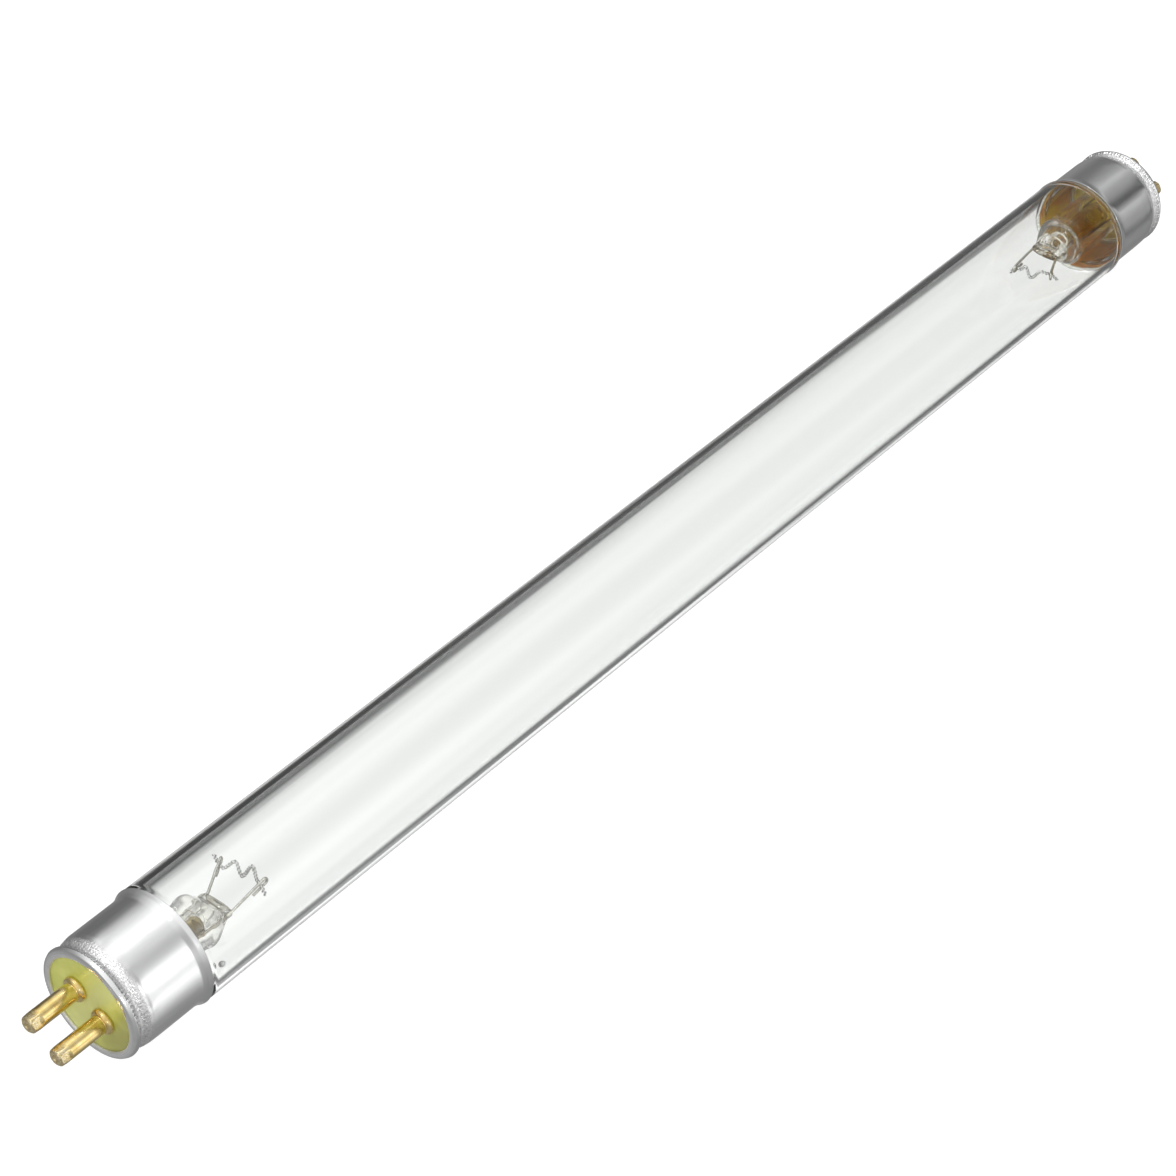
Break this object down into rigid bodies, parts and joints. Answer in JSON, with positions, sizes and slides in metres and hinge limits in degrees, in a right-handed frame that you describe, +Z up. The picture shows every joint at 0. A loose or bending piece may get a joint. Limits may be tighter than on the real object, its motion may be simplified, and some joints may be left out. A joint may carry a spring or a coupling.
{
  "type": "uvc germicidal lamp tube",
  "caption": "Slim clear glass tube lamp with a metal end cap, contact pins and a coiled filament at each end; gives germicidal ultraviolet light.",
  "frame": {"origin": "on the tube's axis, midway between the two pairs of pin tips, which is the centre of the lamp's box", "axes": "+X along the tube from end a, the near end in the picture, to end b; +Y across the tube in the plane of all the contact pins; +Z up, square to that plane"},
  "size_m": [0.2262, 0.016, 0.0158],
  "materials": {
    "envelope_glass": "clear, drawn, smooth",
    "stem_glass": "clear, pressed, a little wavy",
    "exhaust_glass": "clear, drawn",
    "seal_wire": "copper-clad, red-brown where the glass wets it",
    "nickel_wire": "bare drawn wire",
    "copper_wire": "bare drawn wire, dull",
    "filament": "coiled wire with a dull powdery coat",
    "cap_metal": "bright drawn sheet with fine lines along the tube",
    "insulator": "matt board, yellow-green",
    "pin_brass": "turned, lightly rubbed",
    "cement": "baked resin cement, olive to red-brown",
    "mercury": "liquid metal"
  },
  "bodies": {
    "root": {"envelope_tube": "envelope_glass", "stem_a": "stem_glass", "exhaust_tube_a": "exhaust_glass", "seal_wire_a1": "seal_wire", "support_wire_a1": "nickel_wire", "outer_lead_a1": "copper_wire", "seal_wire_a2": "seal_wire", "support_wire_a2": "nickel_wire", "outer_lead_a2": "copper_wire", "filament_a": "filament", "cap_shell_a": "cap_metal", "insulator_disc_a": "insulator", "contact_pin_a1": "pin_brass", "contact_pin_a2": "pin_brass", "basing_cement_a": "cement", "stem_b": "stem_glass", "exhaust_tube_b": "exhaust_glass", "seal_wire_b1": "seal_wire", "support_wire_b1": "nickel_wire", "outer_lead_b1": "copper_wire", "seal_wire_b2": "seal_wire", "support_wire_b2": "nickel_wire", "outer_lead_b2": "copper_wire", "filament_b": "filament", "cap_shell_b": "cap_metal", "insulator_disc_b": "insulator", "contact_pin_b1": "pin_brass", "contact_pin_b2": "pin_brass", "basing_cement_b": "cement", "mercury_drop": "mercury"}
  },
  "joints": []
}
